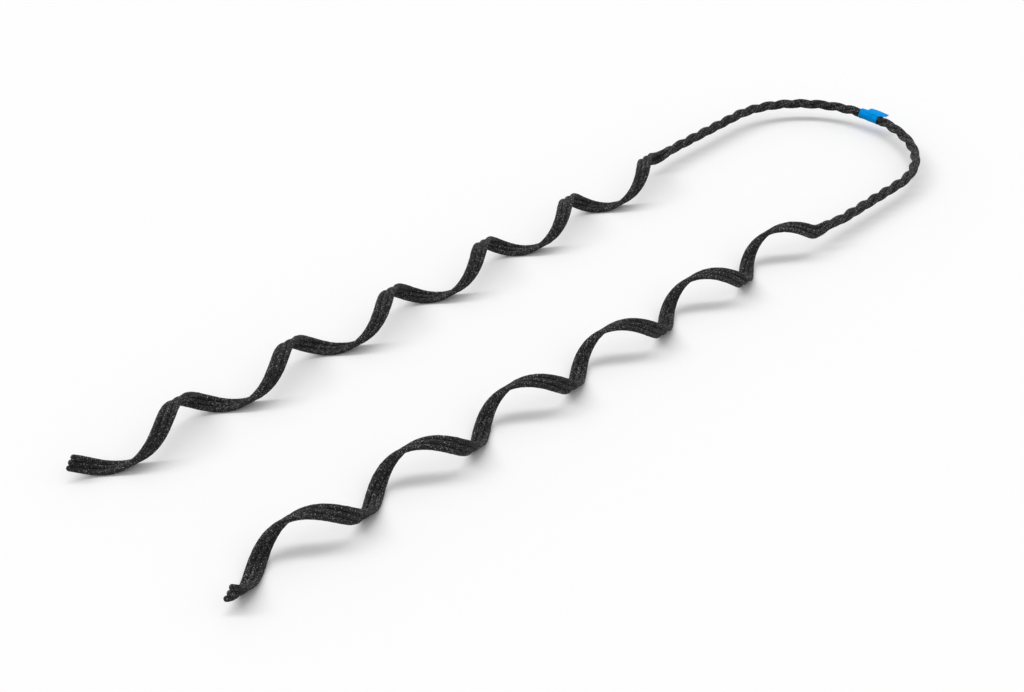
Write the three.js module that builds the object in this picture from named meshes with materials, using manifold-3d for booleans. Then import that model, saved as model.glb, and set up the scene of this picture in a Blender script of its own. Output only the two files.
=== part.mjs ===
import * as THREE from "three";
import Module from "manifold-3d";

// A preformed dead end grip: three coated wires, side by side, make an open helix on each leg,
// and twist into a rope round the eye. Millimetres, +Z up, +X from the leg tips to the eye.

// Wires
const WIRE = 2.55; // one wire over its gritty coating, and the distance between neighbours
const COATING = 0.17; // coating on each side, left as the gap between the modelled wires
const SIDES = 7; // flats round a wire

// Legs
const LEG_PITCH = 62; // length of one turn of the helix
const LEG_RADIUS = 7.61; // leg axis to the middle wire
const LEG_A_LENGTH = 447.2; // eye centre to the far leg's tip
const LEG_B_LENGTH = 446.1; // eye centre to the near leg's tip
const LEG_STEP = 5.2; // length of leg between two cross-sections

// Eye
const EYE_RADIUS = 56.27; // eye centre to the middle of the rope
const STAND_OUT = 0.81; // the rope runs this much further out than the legs' wires
const TURNS = 10; // whole turns of the rope, so each wire keeps its place in both legs
const ROPE_STEP = 2.65; // length of rope between two cross-sections
const TWIST_SWAY = [0.266, -0.454]; // radians by which the twist runs ahead or behind

// Shoulders, where a leg's strip of wires turns into the rope, as lengths back from the eye centre
const LEAVE_A = 74.82; // the far strip reaches the outer side of its leg
const LEAVE_B = 73.26;
const EASE_A = 2.5; // softness of that bend
const EASE_B = 2.13;
const FOLD_A = [90.7, 55.8]; // the flat strip folds into a triangle between these two
const FOLD_B = [83.6, 59.3];
const SHIFT_A = [65.1, 55.6]; // the strip moves out to the rope's line
const SHIFT_B = [74.8, 65];
const RISE = 1.83; // height of the near shoulder's small hump
const RISE_AT = 63.2;
const RISE_WIDTH = 6.7;
const TWIST_A = 63.2; // the rope's twist starts here on the far side and ends on the near side
const TWIST_B = 62.8;
const TWIST_EASE_A = 7.66;
const TWIST_EASE_B = 6.57;

// Marker tape
const TAPE_WIDTH = 12.7;
const TAPE_ASIDE = -0.7; // from the eye's crown to the tape's middle, along the rope
const TAPE_WALL = 0.45;
const TAPE_GAP = 0.18; // clear of the wires' outermost points
const TAPE_SIDES = 18;
const TAPE_RINGS = 5;
// The loose end's outline: along the rope from the tape's edge, and out from the rope's middle.
const TAIL_ROOT = -0.4;
const TAIL_INSET = 2.4; // from the tape's edge to the tail's
const TAIL_SHORT = 3.3; // how far the tail stands out at its short end
const TAIL_LONG = 6; // and at its long end
const TAIL_POINT = 2.2; // the cut end's overhang past the tape

const legRate = (2 * Math.PI) / LEG_PITCH;
const legAngle = Math.atan(legRate * LEG_RADIUS);
const wireRadius = WIRE / 2 - COATING;
// A polygon with the same area as the round wire.
const cornerRadius = wireRadius * Math.sqrt((2 * Math.PI) / SIDES / Math.sin((2 * Math.PI) / SIDES));
const roundAngle = (WIRE * Math.cos(legAngle)) / LEG_RADIUS;
const sag = LEG_RADIUS * (1 - Math.cos(roundAngle));
const flatFold = Math.asin(sag / WIRE);
const ropeFold = Math.PI / 3;
const middleOut = (2 / 3) * WIRE * Math.sin(flatFold);
const stripRadius = LEG_RADIUS - middleOut;
const ropeOffset = LEG_RADIUS + STAND_OUT;
const legOffset = EYE_RADIUS - ropeOffset; // from the grip's middle to a leg's axis
const bend = Math.PI * EYE_RADIUS;
const lay = (TWIST_A + bend + TWIST_B) / TURNS; // length of one turn of the rope
const ropeRate = (2 * Math.PI) / lay;
const up = new THREE.Vector3(0, 0, 1);

// Smooth ramp from 0 to 1, and a line that is flat below zero and rises above it.
function blend(value, [from, to]) {
  const t = THREE.MathUtils.clamp((value - from) / (to - from), 0, 1);
  return t * t * t * (t * (6 * t - 15) + 10);
}
function ramp(value, softness) {
  const t = value / softness;
  return softness * (Math.max(t, 0) + Math.log1p(Math.exp(-Math.abs(t))));
}

// The line that the three wires share. u is 0 at the far end of the half circle and bend at its
// near end. Below 0 it is minus the length back from the eye centre on the far side, and past bend
// the same on the near side.
function centre(u) {
  const far = u < 0;
  const near = u > bend;
  const back = far ? -u : near ? u - bend : 0;
  const angle = THREE.MathUtils.clamp(u / EYE_RADIUS, 0, Math.PI);
  const out = new THREE.Vector3(far || near ? 0 : Math.sin(angle), near ? -1 : far ? 1 : Math.cos(angle), 0);
  if (!far && !near) return { out, point: out.clone().multiplyScalar(EYE_RADIUS), turn: 0, fold: ropeFold };
  const turn = legRate * ramp(back - (far ? LEAVE_A : LEAVE_B), far ? EASE_A : EASE_B);
  const shift = blend(back, far ? SHIFT_A : SHIFT_B);
  const radius = stripRadius + (ropeOffset - stripRadius) * shift;
  const hump = far ? 0 : RISE * Math.exp(-(((back - RISE_AT) / RISE_WIDTH) ** 2));
  const point = out.clone().multiplyScalar(legOffset + radius * Math.cos(turn));
  point.x = -back;
  point.z = radius * Math.sin(turn) + hump;
  const fold = flatFold + (ropeFold - flatFold) * blend(back, far ? FOLD_A : FOLD_B);
  return { out, point, turn, fold };
}

// The rope's own twist at u, in radians.
function twist(u) {
  const run = u + TWIST_A;
  const share = THREE.MathUtils.clamp(run / (TURNS * lay), 0, 1);
  const sway = TWIST_SWAY[0] * Math.sin(2 * Math.PI * share) + TWIST_SWAY[1] * Math.sin(4 * Math.PI * share);
  return sway - ropeRate * (ramp(run, TWIST_EASE_A) - ramp(run - TURNS * lay, TWIST_EASE_B));
}

// The three wires' centres at u, and the direction that the strip faces.
function section(u) {
  const { out, point, turn, fold } = centre(u);
  const step = 0.05;
  const along = centre(u + step).point.sub(centre(u - step).point).normalize();
  const angle = turn + twist(u);
  const face = out.clone().multiplyScalar(Math.cos(angle)).addScaledVector(up, Math.sin(angle));
  face.addScaledVector(along, -face.dot(along)).normalize();
  const side = along.clone().cross(face);
  // The chords of a coarse polygon run inside the curve, so the rope's sections stand a little wider.
  const chord = Math.PI * (ROPE_STEP / lay) * blend(fold, [flatFold, ropeFold]);
  const size = WIRE / Math.cos(chord);
  const centres = [0, 1, -1].map((lane) => {
    const depth = (lane === 0 ? 2 / 3 : -1 / 3) * size * Math.sin(fold);
    return point.clone().addScaledVector(face, depth).addScaledVector(side, lane * size * Math.cos(fold));
  });
  return { centres, face };
}

// Cross-section places: wide apart on the legs, close together on the rope.
function places() {
  const list = [];
  const fill = (from, to, step) => {
    const count = Math.ceil((to - from) / step);
    for (let i = 0; i < count; i++) list.push(from + ((to - from) * i) / count);
  };
  const ropeA = -FOLD_A[0];
  const ropeB = bend + FOLD_B[0];
  fill(-LEG_A_LENGTH, ropeA, LEG_STEP);
  fill(ropeA, ropeB, ROPE_STEP);
  fill(ropeB, bend + LEG_B_LENGTH, LEG_STEP);
  list.push(bend + LEG_B_LENGTH);
  return list;
}

// A closed surface from rings of points, with flat ends.
function skin(rings) {
  const positions = rings.flat().flatMap((p) => [p.x, p.y, p.z]);
  const n = rings[0].length;
  const last = (rings.length - 1) * n;
  const index = [];
  for (let r = 0; r < rings.length - 1; r++) {
    for (let k = 0; k < n; k++) {
      const a = r * n + k;
      const b = r * n + ((k + 1) % n);
      index.push(a, b, b + n, a, b + n, a + n);
    }
  }
  for (let k = 1; k < n - 1; k++) {
    index.push(0, k + 1, k);
    index.push(last, last + k, last + k + 1);
  }
  const geometry = new THREE.BufferGeometry();
  geometry.setAttribute("position", new THREE.Float32BufferAttribute(positions, 3));
  geometry.setIndex(index);
  return geometry;
}

function circle(middle, face, along, radius, count) {
  const side = along.clone().cross(face).normalize();
  return Array.from({ length: count }, (_, k) => {
    const a = (2 * Math.PI * k) / count;
    return middle
      .clone()
      .addScaledVector(face, radius * Math.cos(a))
      .addScaledVector(side, radius * Math.sin(a));
  });
}

function rod(lane, sections) {
  const line = sections.map((s) => s.centres[lane]);
  const rings = line.map((middle, i) => {
    const before = line[Math.max(i - 1, 0)];
    const after = line[Math.min(i + 1, line.length - 1)];
    const along = after.clone().sub(before).normalize();
    const face = sections[i].face.clone();
    face.addScaledVector(along, -face.dot(along)).normalize();
    return circle(middle, face, along, cornerRadius, SIDES);
  });
  return skin(rings);
}

// The tape is a sleeve that follows the rope, with a thin tail joined on top of it.
const wasm = await Module();
wasm.setup();

function solid(geometry) {
  return new wasm.Manifold(
    new wasm.Mesh({
      numProp: 3,
      vertProperties: new Float32Array(geometry.getAttribute("position").array),
      triVerts: new Uint32Array(geometry.index.array),
    }),
  );
}

function eyePoint(u, outward, height) {
  const angle = u / EYE_RADIUS;
  const radius = EYE_RADIUS + outward;
  return new THREE.Vector3(radius * Math.sin(angle), radius * Math.cos(angle), height);
}

function tube(from, to, radius) {
  const rings = Array.from({ length: TAPE_RINGS }, (_, i) => {
    const u = from + ((to - from) * i) / (TAPE_RINGS - 1);
    const out = eyePoint(u, 1, 0).sub(eyePoint(u, 0, 0));
    const along = out.clone().cross(up);
    return circle(eyePoint(u, 0, 0), out, along, radius, TAPE_SIDES);
  });
  return skin(rings);
}

function tape() {
  const chord = Math.PI * (ROPE_STEP / lay);
  const ropeRadius = WIRE / Math.cos(chord) / Math.sqrt(3) + cornerRadius;
  const inner = (ropeRadius + TAPE_GAP) / Math.cos(Math.PI / TAPE_SIDES);
  const outer = inner + TAPE_WALL;
  const start = bend / 2 + TAPE_ASIDE - TAPE_WIDTH / 2;
  const end = start + TAPE_WIDTH;
  const sleeve = solid(tube(start, end, outer)).subtract(
    solid(tube(start - TAPE_WIDTH / 4, end + TAPE_WIDTH / 4, inner)),
  );
  const top = outer * Math.cos(Math.PI / TAPE_SIDES);
  const outline = [
    [start + TAIL_INSET, TAIL_ROOT],
    [end, TAIL_ROOT],
    [end + TAIL_POINT, TAIL_SHORT],
    [end + TAIL_POINT, TAIL_LONG],
    [start + TAIL_INSET, TAIL_SHORT],
  ];
  const slab = (height) => outline.map(([u, outward]) => eyePoint(u, outward, height));
  const tail = solid(skin([slab(top - TAPE_WALL), slab(top)]));
  const mesh = sleeve.add(tail).getMesh();
  const geometry = new THREE.BufferGeometry();
  geometry.setAttribute("position", new THREE.Float32BufferAttribute(mesh.vertProperties, 3));
  geometry.setIndex(Array.from(mesh.triVerts));
  return geometry;
}

const black = { color: 0x3a3b3c, roughness: 0.9, metalness: 0.1 };
const blue = { color: 0x0d86cf, roughness: 0.55, metalness: 0 };
const sections = places().map(section);
const grip = new THREE.Group();
[0, 1, 2].forEach((lane) => {
  const mesh = new THREE.Mesh(rod(lane, sections), new THREE.MeshStandardMaterial(black));
  mesh.name = "rod_" + (lane + 1);
  grip.add(mesh);
});
const tapeMesh = new THREE.Mesh(tape(), new THREE.MeshStandardMaterial(blue));
tapeMesh.name = "marker_tape";
grip.add(tapeMesh);

// The origin is the middle of the grip's footprint, on the surface that the legs lie on.
const box = new THREE.Box3().setFromObject(grip);
const middle = box.getCenter(new THREE.Vector3());
grip.position.set(-middle.x, -middle.y, -box.min.z);
grip.updateMatrixWorld(true);

export default grip;
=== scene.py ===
# %% [markdown]
# # A preformed dead end grip
# Linemen wrap the two open legs of this grip round a cable, and its eye then holds the cable's end.
# It is made of three wires with a gritty black coating. On the legs they lie side by side as a flat
# strip, wound into an open helix, and round the eye they twist about each other as a rope.
# The script works out the lines of the three wires with numpy, puts a round skin on each, adds the
# blue tape at the eye's crown, and ends with the materials, the floor, the light and the camera.

import math

import bpy
import numpy as np
from mathutils import Matrix, Vector


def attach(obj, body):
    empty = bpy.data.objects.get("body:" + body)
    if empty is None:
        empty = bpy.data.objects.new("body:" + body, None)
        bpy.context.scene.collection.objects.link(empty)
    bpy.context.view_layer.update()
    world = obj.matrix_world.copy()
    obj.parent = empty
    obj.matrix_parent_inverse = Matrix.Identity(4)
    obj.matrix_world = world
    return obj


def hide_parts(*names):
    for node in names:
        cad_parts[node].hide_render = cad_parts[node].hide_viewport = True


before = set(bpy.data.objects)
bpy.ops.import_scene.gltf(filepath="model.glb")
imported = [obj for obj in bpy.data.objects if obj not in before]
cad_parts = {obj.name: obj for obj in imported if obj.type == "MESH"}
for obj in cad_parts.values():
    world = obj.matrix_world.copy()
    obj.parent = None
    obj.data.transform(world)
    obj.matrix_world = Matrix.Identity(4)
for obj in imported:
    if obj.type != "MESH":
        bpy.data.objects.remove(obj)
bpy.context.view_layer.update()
print("nodes in the frame:", sorted(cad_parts))

# %% [markdown]
# ## The sizes
# They are those of the part's source, in metres, apart from the waves in the rope's twist. x runs
# along the legs to the eye, y goes from the near leg to the far leg, and z is up. A length back from
# the eye's centre is called back.

# %% Sizes of the wires, the legs and the eye
MM = 0.001
WIRE = 2.55 * MM  # thickness of one coated wire, and the distance between neighbours
LEG_PITCH = 62 * MM
LEG_RADIUS = 7.61 * MM  # from a leg's axis to the middle wire
LEG_A_LENGTH = 447.2 * MM  # far leg, from the eye's centre to its tip
LEG_B_LENGTH = 446.1 * MM  # near leg
EYE_RADIUS = 56.27 * MM
STAND_OUT = 0.81 * MM  # how much further out the rope runs than the legs' wires
TURNS = 10  # turns of the rope between the two shoulders
EYE_CENTRE = np.array([193.8815, 0.0115, 8.7936]) * MM
UP = np.array([0.0, 0.0, 1.0])

# %% Sizes of the shoulders, where the strip turns into the rope
LEAVE = {"far": 74.82 * MM, "near": 73.26 * MM}  # the strip reaches the leg's outer side here
EASE = {"far": 2.5 * MM, "near": 2.13 * MM}  # how softly its turning stops there
FOLD = {"far": (90.7 * MM, 55.8 * MM), "near": (83.6 * MM, 59.3 * MM)}  # flat to triangle
SHIFT = {"far": (65.1 * MM, 55.6 * MM), "near": (74.8 * MM, 65 * MM)}  # leg's radius to rope's
RISE, RISE_AT, RISE_WIDTH = 1.83 * MM, 63.2 * MM, 6.7 * MM  # a hump in the near shoulder
TWIST_A, TWIST_B = 63.2 * MM, 62.8 * MM  # the rope's twist ends here, far and near
TWIST_EASE_A, TWIST_EASE_B = 7.66 * MM, 6.57 * MM
TWIST_SWAY = np.array([0.276, -0.48, 0.089, -0.146, 0.064, -0.072])  # radians ahead or behind

# %% Sizes that follow from those
leg_rate = 2 * math.pi / LEG_PITCH
leg_angle = math.atan(leg_rate * LEG_RADIUS)
strip_sag = LEG_RADIUS * (1 - math.cos(WIRE * math.cos(leg_angle) / LEG_RADIUS))
flat_fold = math.asin(strip_sag / WIRE)
rope_fold = math.pi / 3
strip_radius = LEG_RADIUS - 2 / 3 * WIRE * math.sin(flat_fold)
rope_offset = LEG_RADIUS + STAND_OUT
leg_offset = EYE_RADIUS - rope_offset
bend = math.pi * EYE_RADIUS
lay = (TWIST_A + bend + TWIST_B) / TURNS
print("helix angle of the legs:", round(math.degrees(leg_angle), 1), "degrees")
print("one turn of the rope:", round(lay / MM, 2), "mm")

# %% [markdown]
# ## The line that the wires share
# A curve object could follow such a path, but its twist can't be set exactly. Here the path is worked
# out instead. Every place on it has one number u: 0 and `bend` are the two ends of the eye's half
# circle, u below 0 lies on the far leg, and u past `bend` lies on the near leg.
# The helix doesn't stop suddenly. Its angle is a soft ramp that flattens out at the shoulder, so the
# strip comes over the top of the leg, reaches its outer side and runs on straight as the rope.


# %% Soft steps and ramps
def soft_step(value, start, end):
    """0 at start and 1 at end, by 6t^5 - 15t^4 + 10t^3 in between."""
    t = np.clip((value - start) / (end - start), 0, 1)
    return t**3 * (t * (6 * t - 15) + 10)


def soft_ramp(value, softness):
    """Nothing below zero and the value above it: softness times ln(1 + e^(value / softness))."""
    return softness * np.logaddexp(0, value / softness)


# %% The shared line
def shared_line(u):
    """A half circle of radius EYE_RADIUS in the middle.

    On a leg: leg axis + radius (cos turn, sin turn).
    """
    far, near = u < 0, u > bend
    on_leg = far | near
    back = np.where(far, -u, np.where(near, u - bend, 0))
    angle = np.clip(u / EYE_RADIUS, 0, math.pi)
    aside = np.where(far, 1, np.where(near, -1, np.cos(angle)))
    out = np.stack([np.where(on_leg, 0, np.sin(angle)), aside, 0 * u], -1)

    def side(pair):
        return np.where(far, pair["far"], pair["near"])

    def step(pair):
        return np.where(far, soft_step(back, *pair["far"]), soft_step(back, *pair["near"]))

    turn = np.where(on_leg, leg_rate * soft_ramp(back - side(LEAVE), side(EASE)), 0)
    radius = strip_radius + (rope_offset - strip_radius) * step(SHIFT)
    hump = np.where(near, RISE * np.exp(-(((back - RISE_AT) / RISE_WIDTH) ** 2)), 0)
    reach = np.where(on_leg, leg_offset + radius * np.cos(turn), EYE_RADIUS)
    height = np.where(on_leg, radius * np.sin(turn) + hump, 0)
    point = out * reach[:, None] + UP * height[:, None]
    point[:, 0] -= back
    fold = np.where(on_leg, flat_fold + (rope_fold - flat_fold) * step(FOLD), rope_fold)
    return point, out, turn, fold


# %% [markdown]
# ## Three wires about the line
# The middle wire and its two neighbours make a very flat V on the legs, because they lie on a
# cylinder. When the V folds up to 60 degrees, its three points are the corners of an equilateral
# triangle, which is how three strands lie in a rope. Folding keeps the wires one thickness apart, so
# they touch all the way. The triangle then turns once for every turn of the rope.
# A rope laid by hand isn't even, so slow waves let the twist run a little ahead or behind. The model
# has two waves, nearly the first two here. The finer ones match the photo's strands, which then lie
# about half a millimetre from the model's at most.


# %% The twist of the rope
def rope_twist(u):
    """-2 pi / lay for each metre between the shoulders, plus slow waves.

    The waves are sines of 1, 2, 3... periods over the rope.
    """
    run = u + TWIST_A
    share = np.clip(run / (TURNS * lay), 0, 1)
    waves = np.arange(1, len(TWIST_SWAY) + 1)
    sway = (TWIST_SWAY * np.sin(2 * math.pi * waves * share[..., None])).sum(-1)
    turned = soft_ramp(run, TWIST_EASE_A) - soft_ramp(run - TURNS * lay, TWIST_EASE_B)
    return sway - 2 * math.pi / lay * turned


# %% Wire centres
def unit(v):
    """Each row divided by its length."""
    return v / np.linalg.norm(v, axis=-1, keepdims=True)


def wire_lines(u):
    """line + depth * face + width * side, where face turns with the strip and side = along x face."""
    point, out, turn, fold = shared_line(u)
    nudge = 0.05 * MM
    along = unit(shared_line(u + nudge)[0] - shared_line(u - nudge)[0])
    angle = (turn + rope_twist(u))[:, None]
    face = np.cos(angle) * out + np.sin(angle) * UP
    face = unit(face - (face * along).sum(-1, keepdims=True) * along)
    side = np.cross(along, face)
    lines = []
    for lane, depth_share in ((0, 2 / 3), (1, -1 / 3), (-1, -1 / 3)):
        depth = (depth_share * WIRE * np.sin(fold))[:, None]
        width = (lane * WIRE * np.cos(fold))[:, None]
        lines.append(point + depth * face + width * side + EYE_CENTRE)
    return lines, face, fold


# %% [markdown]
# ## A skin round each wire
# A profile carried along a path makes a tube: each row of the grid is one ring of points round the
# wire. The coating is rough, so each point also moves in or out by a few hundredths of a millimetre.
# The ends are round, as if dipped, so the last rings shrink along a quarter circle to a closed pole.


# %% Mesh from a grid of rings
def add_piece(name, points, faces):
    """A smooth-shaded mesh object in the scene, at the origin."""
    mesh = bpy.data.meshes.new(name)
    mesh.from_pydata(points.tolist(), [], faces)
    mesh.polygons.foreach_set("use_smooth", np.ones(len(mesh.polygons), bool))
    mesh.update()
    piece = bpy.data.objects.new(name, mesh)
    bpy.context.scene.collection.objects.link(piece)
    print(name, "has", len(mesh.polygons), "faces")
    return piece


def grid_mesh(name, rings, poles=None):
    """Joins each ring to the next with quads.

    Two poles close the ends, or else the last ring meets the first.
    """
    rows, columns = rings.shape[:2]
    ring = np.arange(columns)
    after = (ring + 1) % columns
    row = np.arange(rows if poles is None else rows - 1)[:, None] * columns
    next_row = (row + columns) % (rows * columns)
    quads = np.stack([row + ring, row + after, next_row + after, next_row + ring], -1).reshape(-1, 4)
    points, faces = rings.reshape(-1, 3), quads.tolist()
    if poles is not None:
        last = (rows - 1) * columns
        start_cap = np.stack([np.full(columns, rows * columns), after, ring], -1)
        end_cap = np.stack([np.full(columns, rows * columns + 1), last + ring, last + after], -1)
        points = np.concatenate([points, poles])
        faces += start_cap.tolist() + end_cap.tolist()
    return add_piece(name, points, faces)


# %% Grit
rng = np.random.default_rng(11)


def grit(rows, columns, height):
    """Random heights, each averaged with its neighbours once along the wire and once round it."""
    field = rng.standard_normal((rows, columns))
    field = (np.roll(field, 1, 0) + 2 * field + np.roll(field, -1, 0)) / 4
    field = (np.roll(field, 1, 1) + 2 * field + np.roll(field, -1, 1)) / 4
    return height * field / field.std()


# %% [markdown]
# The coating also bridges the wires, so the strip is one piece with shallow grooves. A flat web
# between two tubes would show an edge. Here each wire's skin swells a little towards its neighbours
# instead, so that two skins meet higher up in the groove. In the rope, whose grooves are deeper, the
# swelling is half as large.

# %% Coating between the wires
WEB = 0.07  # the skin's swelling towards a neighbour, as a share of its radius
WEB_SPREAD = 0.18  # larger values swell more of the way round
WEB_FADE = (1.05 * WIRE, 1.4 * WIRE)  # it fades out as a neighbour moves this far away


def web(outward, line, others):
    """Sum over close neighbours of e^((cosine - 1) / WEB_SPREAD).

    The cosine is that of the angle off the neighbour's direction.
    """
    total = 0
    for other in others:
        gap = other - line
        distance = np.linalg.norm(gap, axis=-1, keepdims=True)
        cosine = (outward * (gap / distance)[:, None]).sum(-1)
        closeness = 1 - soft_step(distance, *WEB_FADE)
        total = total + closeness * np.exp((cosine - 1) / WEB_SPREAD)
    return total


# %% Wires
RING_SIDES = 24
RING_STEP = 0.5 * MM
GRIT_HEIGHT = 0.03 * MM
DOME = 1.0 * MM  # length of a wire's rounded end
DOME_ANGLES = np.linspace(0.12, 0.5, 6) * math.pi  # one ring at each

start_u, end_u = -LEG_A_LENGTH, bend + LEG_B_LENGTH
plain = np.arange(start_u + DOME, end_u - DOME, RING_STEP)
curve = DOME * (1 - np.cos(DOME_ANGLES))
places = np.concatenate([start_u + curve, plain[1:-1], end_u - curve[::-1]])
lines, strip_face, strip_fold = wire_lines(places)

wires = []
for number, line in enumerate(lines, 1):
    along = unit(np.gradient(line, axis=0))
    face = unit(strip_face - (strip_face * along).sum(-1, keepdims=True) * along)
    side = np.cross(along, face)
    inset = np.minimum(places - start_u, end_u - places)
    dome = np.sqrt(1 - np.clip(1 - inset / DOME, 0, 1) ** 2)
    turn = np.linspace(0, 2 * math.pi, RING_SIDES, endpoint=False)[None, :, None]
    outward = np.cos(turn) * face[:, None] + np.sin(turn) * side[:, None]
    neighbours = [other for other in lines if other is not line]
    swelling = 1 + WEB * np.cos(strip_fold)[:, None] * web(outward, line, neighbours)
    radius = (WIRE / 2 * swelling + grit(len(places), RING_SIDES, GRIT_HEIGHT)) * dome[:, None]
    rings = line[:, None] + radius[..., None] * outward
    cap = inset[0]
    poles = np.stack([line[0] - cap * along[0], line[-1] + cap * along[-1]])
    wire = grid_mesh(f"wire_{number}", rings, poles)
    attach(wire, "root")
    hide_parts(f"rod_{number}")
    wires.append(wire)
    length = np.linalg.norm(np.diff(line, axis=0), axis=-1).sum()
    print(wire.name, "is", round(length, 3), "m long")

# %% [markdown]
# ## The marker tape
# A turn or two of blue tape marks the middle of the grip, where the eye bears on its thimble. One
# turn is made here. It is stretched tight, so it sinks a little between the strands: its section is a
# circle with three soft lobes that turn with the rope. Two skins, one inside the other, make it a
# thin closed sheet.

# %% Sizes of the tape
TAPE_WIDTH = 12.7 * MM
TAPE_ASIDE = -0.7 * MM  # from the eye's crown to the band's middle, along the rope
TAPE_RADIUS = 2.76 * MM  # inside
TAPE_LOBE = 0.08 * MM
TAPE_WALL = 0.16 * MM
TAPE_RINGS = 24
TAPE_SIDES = 72
tape_start = bend / 2 + TAPE_ASIDE - TAPE_WIDTH / 2


def eye_point(u, outward, height):
    """Eye centre + (EYE_RADIUS + outward) towards the rope's place u, at that height."""
    angle = u / EYE_RADIUS
    reach = EYE_RADIUS + outward
    place = np.broadcast_arrays(reach * np.sin(angle), reach * np.cos(angle), height)
    return EYE_CENTRE + np.stack(place, -1)


# %% Band
def tape_surface(u, around, lift):
    """eye_point at radius TAPE_RADIUS + TAPE_LOBE cos 3(around - twist) + lift."""
    radius = TAPE_RADIUS + TAPE_LOBE * np.cos(3 * (around - rope_twist(u))) + lift
    return eye_point(u, radius * np.cos(around), radius * np.sin(around))


skin = np.linspace(tape_start, tape_start + TAPE_WIDTH, TAPE_RINGS)
around = np.linspace(0, 2 * math.pi, TAPE_SIDES, endpoint=False)
both_skins = np.concatenate([skin, skin[::-1]])
lift = np.repeat([TAPE_WALL, 0], TAPE_RINGS)
band = grid_mesh("tape_band", tape_surface(both_skins[:, None], around[None], lift[:, None]))

# %% [markdown]
# The tape's loose end was laid on askew. It follows the top of the band, leaves it level and outwards
# as a small flag, and one corner stands past the band's edge. Its outline could be cut from a plane,
# but a grid between its two short sides can also bend: one sheet, with a skin above and below it.


# %% Sheet with two skins and a rim
def sheet_mesh(name, middle, thickness):
    """A grid of points moved up and down by half the thickness, with quads round the rim."""
    rows, columns = middle.shape[:2]
    count = rows * columns
    half = UP * thickness / 2
    points = np.concatenate([(middle + half).reshape(-1, 3), (middle - half).reshape(-1, 3)])
    index = np.arange(count).reshape(rows, columns)
    a, b, c, d = index[:-1, :-1], index[1:, :-1], index[1:, 1:], index[:-1, 1:]
    top = np.stack([a, b, c, d], -1).reshape(-1, 4)
    under = np.stack([a, d, c, b], -1).reshape(-1, 4) + count
    rim = np.concatenate([index[:-1, 0], index[-1, :-1], index[:0:-1, -1], index[0, :0:-1]])
    after = np.roll(rim, -1)
    wall = np.stack([after, rim, rim + count, after + count], -1)
    return add_piece(name, points, np.concatenate([top, under, wall]).tolist())


# %% Flag
# Corners in millimetres: along the rope from the band's edge, and out from the rope's middle.
FLAG_FIRST_SIDE = [(3.7, -1.6), (4.0, 1.2), (4.35, 4.1)]
FLAG_LAST_SIDE = [(12.6, -1.6), (16.3, 1.1), (15.3, 4.9)]
FLAG_THICKNESS = 0.15 * MM
FLAG_LIFT = 0.08 * MM  # its middle lies this far above the band's outer face
FLAG_REACH = 4 * MM  # its free part bends down by FLAG_DROOP over this length
FLAG_DROOP = 0.2 * MM
FLAG_WAVE = 0.06 * MM
FLAG_ROWS, FLAG_COLUMNS = 41, 25

across = np.linspace(0, 1, FLAG_COLUMNS)
first_side, last_side = (
    np.stack([np.interp(across, (0, 0.5, 1), [corner[k] for corner in side]) for k in (0, 1)], -1) * MM
    for side in (FLAG_FIRST_SIDE, FLAG_LAST_SIDE)
)
share = np.linspace(0, 1, FLAG_ROWS)[:, None]
flat = first_side[None] * (1 - share[..., None]) + last_side[None] * share[..., None]
flag_u, flag_out = tape_start + flat[..., 0], flat[..., 1]
flag_radius = TAPE_RADIUS + TAPE_LOBE + TAPE_WALL + FLAG_LIFT
on_band = np.sqrt(flag_radius**2 - np.minimum(flag_out, 0) ** 2)
free = np.maximum(flag_out, 0) / FLAG_REACH
waves = FLAG_WAVE * np.sin(9 * share + 4 * across[None]) * free
flag_height = on_band - FLAG_DROOP * free**2 + waves
flag = sheet_mesh("tape_flag", eye_point(flag_u, flag_out, flag_height), FLAG_THICKNESS)

for piece in (band, flag):
    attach(piece, "root")
    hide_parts("marker_tape")

# %% [markdown]
# ## The gritty black coating
# Real grips are dipped in a coating with grit in it, so that they hold the cable. Up close it is matt
# black, with grains that are each a little darker or paler. A picture could show that, but patterns
# on Object coordinates stay with the wire and have no seams. A cell pattern gives every grain its own
# tone and a small dome, and it also paints a highlight on each dome's middle and shade at its rim.
# A fine noise gives the dust on it, and a broad noise the patches of wear.


# %% Node helpers
def new_material(name):
    """A material with a Principled shader, and Object coordinates to drive its patterns."""
    material = bpy.data.materials.new(name)
    material.use_nodes = True
    nodes, links = material.node_tree.nodes, material.node_tree.links
    where = nodes.new("ShaderNodeTexCoord").outputs["Object"]
    return material, nodes, links, nodes["Principled BSDF"], where


def noise(nodes, links, where, size, detail=2.0):
    """Noise whose blobs are about that size in metres."""
    node = nodes.new("ShaderNodeTexNoise")
    node.inputs["Scale"].default_value = 1 / size
    node.inputs["Detail"].default_value = detail
    links.new(where, node.inputs["Vector"])
    return node.outputs["Fac"]


def ramp(nodes, links, value, stops):
    """Colours at places from 0 to 1."""
    node = nodes.new("ShaderNodeValToRGB")
    links.new(value, node.inputs["Fac"])
    elements = node.color_ramp.elements
    while len(elements) < len(stops):
        elements.new(0.5)
    for element, (position, shade) in zip(elements, stops):
        element.position = position
        element.color = (*shade, 1)
    return node.outputs["Color"]


def greys(stops):
    """The same places, each with the grey of that value."""
    return [(place, (value, value, value)) for place, value in stops]


def mixed(nodes, links, share, first, second, kind="MIX"):
    """Two colours mixed, or blended in another way, by a share from 0 to 1."""
    node = nodes.new("ShaderNodeMix")
    node.data_type, node.blend_type = "RGBA", kind
    for socket, value in (("Factor", share), ("A", first), ("B", second)):
        target = [i for i in node.inputs if i.name == socket and i.enabled][0]
        if isinstance(value, bpy.types.NodeSocket):
            links.new(value, target)
        else:
            target.default_value = value
    return [o for o in node.outputs if o.enabled][0]


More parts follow.
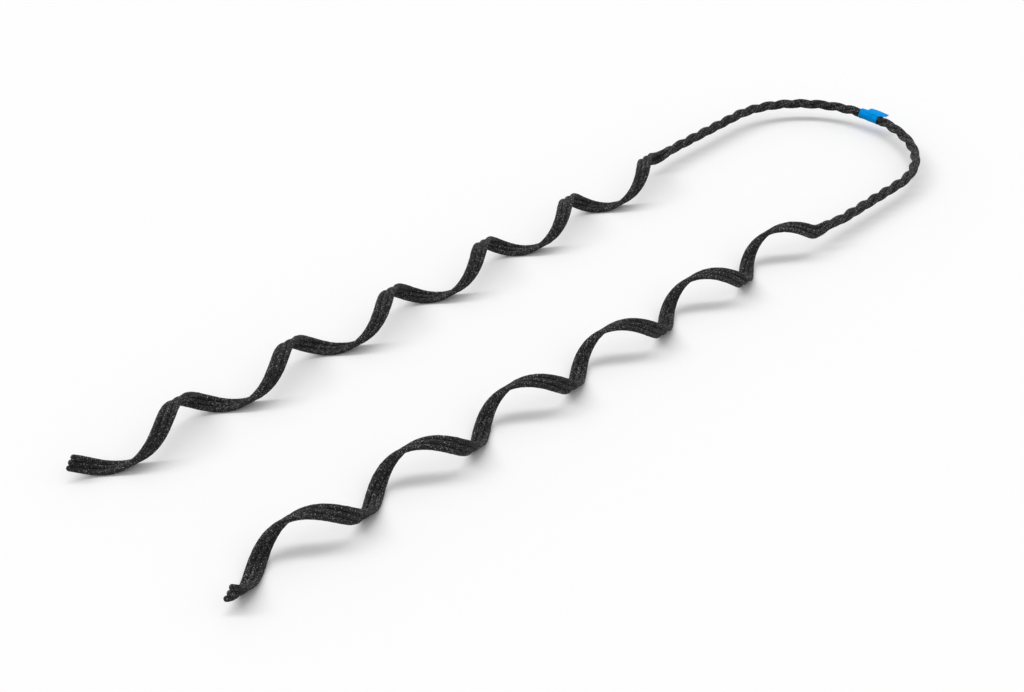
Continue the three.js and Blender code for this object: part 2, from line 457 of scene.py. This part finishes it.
def bump(nodes, links, heights, distance, strength, below=None):
    """Bumps of about that height in metres."""
    node = nodes.new("ShaderNodeBump")
    node.inputs["Distance"].default_value = distance
    node.inputs["Strength"].default_value = strength
    links.new(heights, node.inputs["Height"])
    if below is not None:
        links.new(below, node.inputs["Normal"])
    return node.outputs["Normal"]


def ranged(nodes, links, value, low, high):
    """A number from 0 to 1 spread from low to high."""
    node = nodes.new("ShaderNodeMapRange")
    node.inputs["To Min"].default_value = low
    node.inputs["To Max"].default_value = high
    links.new(value, node.inputs["Value"])
    return node.outputs["Result"]


# %% Coating
GRAIN, GRAIN_HEIGHT = 0.4 * MM, 0.16 * MM
DUST_SIZE, DUST_HEIGHT = 0.3 * MM, 0.06 * MM
WEAR_SIZE = 9 * MM
GRAIN_TONES = [(0.0, 0.001), (0.35, 0.003), (0.6, 0.01), (0.8, 0.042), (0.92, 0.11), (1.0, 0.24)]
GRAIN_DOME_PAINTED_SHADE = [(0.15, 1.7), (0.45, 1), (0.75, 0.3)]  # painted highlight in each grain's middle and painted shade at its rim
DUST = [(0.35, 0.55), (0.65, 1.55)]
WEAR = [(0.35, 0.75), (0.65, 1.3)]

coating, nodes, links, shader, where = new_material("gritty_coating")
cells = nodes.new("ShaderNodeTexVoronoi")
cells.inputs["Scale"].default_value = 1 / GRAIN
links.new(where, cells.inputs["Vector"])
tone = nodes.new("ShaderNodeSeparateColor")
links.new(cells.outputs["Color"], tone.inputs["Color"])
fine = noise(nodes, links, where, DUST_SIZE, 3)
patches = noise(nodes, links, where, WEAR_SIZE, 2)
gritty = ramp(nodes, links, tone.outputs["Red"], greys(GRAIN_TONES))
# The cell distance paints each grain pale in the middle and dark at the rim: a painted highlight and
# painted shade of its dome.
for value, stops in ((cells.outputs["Distance"], GRAIN_DOME_PAINTED_SHADE), (fine, DUST), (patches, WEAR)):
    shade = ramp(nodes, links, value, greys(stops))
    gritty = mixed(nodes, links, 1.0, gritty, shade, "MULTIPLY")
links.new(gritty, shader.inputs["Base Color"])
shader.inputs["Specular IOR Level"].default_value = 0.3
links.new(ranged(nodes, links, tone.outputs["Green"], 0.95, 0.6), shader.inputs["Roughness"])
domes = bump(nodes, links, ranged(nodes, links, cells.outputs["Distance"], 1, 0), GRAIN_HEIGHT, 0.8)
links.new(bump(nodes, links, fine, DUST_HEIGHT, 0.5, domes), shader.inputs["Normal"])
for wire in wires:
    wire.data.materials.append(coating)
print("coating grain in mm:", round(GRAIN / MM, 2))

# %% [markdown]
# ## The tape
# It is plain blue vinyl tape with a satin face. Pulled round the rope, it has faint wrinkles and
# small differences in colour where it is stretched or rubbed.

# %% Vinyl
CLOUD_SIZE = 2.5 * MM
WRINKLE_SIZE, WRINKLE_HEIGHT = 0.9 * MM, 0.05 * MM
BLUES = [(0.3, (0, 0.26, 0.68)), (0.5, (0, 0.295, 0.78)), (0.7, (0, 0.33, 0.86))]

vinyl, nodes, links, shader, where = new_material("blue_vinyl")
cloud = noise(nodes, links, where, CLOUD_SIZE, 3)
wrinkles = noise(nodes, links, where, WRINKLE_SIZE, 4)
links.new(ramp(nodes, links, cloud, BLUES), shader.inputs["Base Color"])
shader.inputs["Specular IOR Level"].default_value = 0.02
links.new(ranged(nodes, links, wrinkles, 0.4, 0.6), shader.inputs["Roughness"])
links.new(bump(nodes, links, wrinkles, WRINKLE_HEIGHT, 0.3), shader.inputs["Normal"])
for piece in (band, flag):
    piece.data.materials.append(vinyl)

# %% [markdown]
# ## Floor, light and camera
# The photo is a packshot: white ground, soft light from above and a little from the left and behind,
# and faint shadows under the wires. The floor is a real surface that takes the shadow, and only what
# the camera itself sees of it is nearly white.

# %% Floor
FLOOR_SIZE = 6.0
corners = np.array([(-1, -1, 0), (1, -1, 0), (1, 1, 0), (-1, 1, 0)])
floor = add_piece("floor", FLOOR_SIZE / 2 * corners, [[0, 1, 2, 3]])
ground, nodes, links, shader, where = new_material("pale_floor")


def seen_directly(nodes, links):
    """1 for what the camera sees, also in a reflection or through glass.

    It is 0 for the light that falls on the object.
    """
    path = nodes.new("ShaderNodeLightPath")
    total = path.outputs["Is Camera Ray"]
    for ray in ("Is Glossy Ray", "Is Transmission Ray"):
        larger = nodes.new("ShaderNodeMath")
        larger.operation = "MAXIMUM"
        links.new(total, larger.inputs[0])
        links.new(path.outputs[ray], larger.inputs[1])
        total = larger.outputs[0]
    return total


LIGHTING, SHOWING = (0.5, 0.5, 0.5, 1), (0.98, 0.98, 0.98, 1)
floor_colour = mixed(nodes, links, seen_directly(nodes, links), LIGHTING, SHOWING)
links.new(floor_colour, shader.inputs["Base Color"])
shader.inputs["Roughness"].default_value = 1
shader.inputs["Specular IOR Level"].default_value = 0
floor.data.materials.append(ground)

# %% Sky
SKY_LEVEL = 0.65
scene = bpy.context.scene
world = bpy.data.worlds.new("studio")
scene.world = world
world.use_nodes = True
nodes, links = world.node_tree.nodes, world.node_tree.links
sky = nodes["Background"]
sky.inputs["Color"].default_value = (1, 1, 1, 1)
links.new(ranged(nodes, links, seen_directly(nodes, links), SKY_LEVEL, 1.0), sky.inputs["Strength"])

# %% [markdown]
# The shadows in the photo are crisp under the wires that run from left to right in the picture, and
# blurred under the ones that run away from the camera. A long strip light over the object, set a
# little back and to the left, does that. A row of soft suns stands for it, because a sun lights the
# whole floor evenly, where a lamp nearby would leave the picture's corners grey.

# %% Strip light
CAMERA_HEADING = 0.7923909  # radians from +X towards +Y
STRIP_BACK = math.radians(14.6)  # it leans this far away from the camera
STRIP_ANGLES = np.radians([-48, -34, -20, -6, 8])  # negative is to the left in the picture
SUN_SIZE = math.radians(17)
STRIP_LEVEL = 0.36  # what the strip adds to a white floor; the sky adds the rest

away_from_camera = np.array([math.cos(CAMERA_HEADING), math.sin(CAMERA_HEADING), 0])
to_the_right = np.array([math.sin(CAMERA_HEADING), -math.cos(CAMERA_HEADING), 0])
overhead = math.cos(STRIP_BACK) * UP + math.sin(STRIP_BACK) * away_from_camera
for number, angle in enumerate(STRIP_ANGLES, 1):
    towards = math.cos(angle) * overhead + math.sin(angle) * to_the_right
    sun = bpy.data.lights.new(f"strip_{number}", "SUN")
    sun.angle = SUN_SIZE
    sun.energy = math.pi * STRIP_LEVEL / len(STRIP_ANGLES) / towards[2]
    sun_object = bpy.data.objects.new(sun.name, sun)
    sun_object.rotation_euler = Vector(towards).to_track_quat("Z", "Y").to_euler()
    scene.collection.objects.link(sun_object)
    print(sun.name, "is", round(math.degrees(math.acos(towards[2]))), "degrees from overhead")

# %% Camera
CAMERA_PLACE = (-0.478354, -0.439820, 0.436193)
CAMERA_DOWN = 0.6231646  # radians below level
CAMERA_ROLL = -0.00057
FOCAL_PIXELS = 1572.019
PICTURE = (1024, 692)

camera = bpy.data.cameras.new("camera")
camera.sensor_fit, camera.sensor_width = "HORIZONTAL", 36
camera.lens = FOCAL_PIXELS / PICTURE[0] * camera.sensor_width
camera.shift_x, camera.shift_y = -0.5 / PICTURE[0], 0.5 / PICTURE[0]
camera_object = bpy.data.objects.new("camera", camera)
forward = math.cos(CAMERA_DOWN) * away_from_camera - math.sin(CAMERA_DOWN) * UP
level_up = np.cross(to_the_right, forward)
right = math.cos(CAMERA_ROLL) * to_the_right + math.sin(CAMERA_ROLL) * level_up
upward = np.cross(right, forward)
matrix = np.eye(4)
matrix[:3] = np.stack([right, upward, -forward, CAMERA_PLACE], -1)
camera_object.matrix_world = Matrix(matrix.tolist())
scene.collection.objects.link(camera_object)
scene.camera = camera_object
scene.view_settings.view_transform = "Standard"
print("lens in mm:", round(camera.lens, 2))
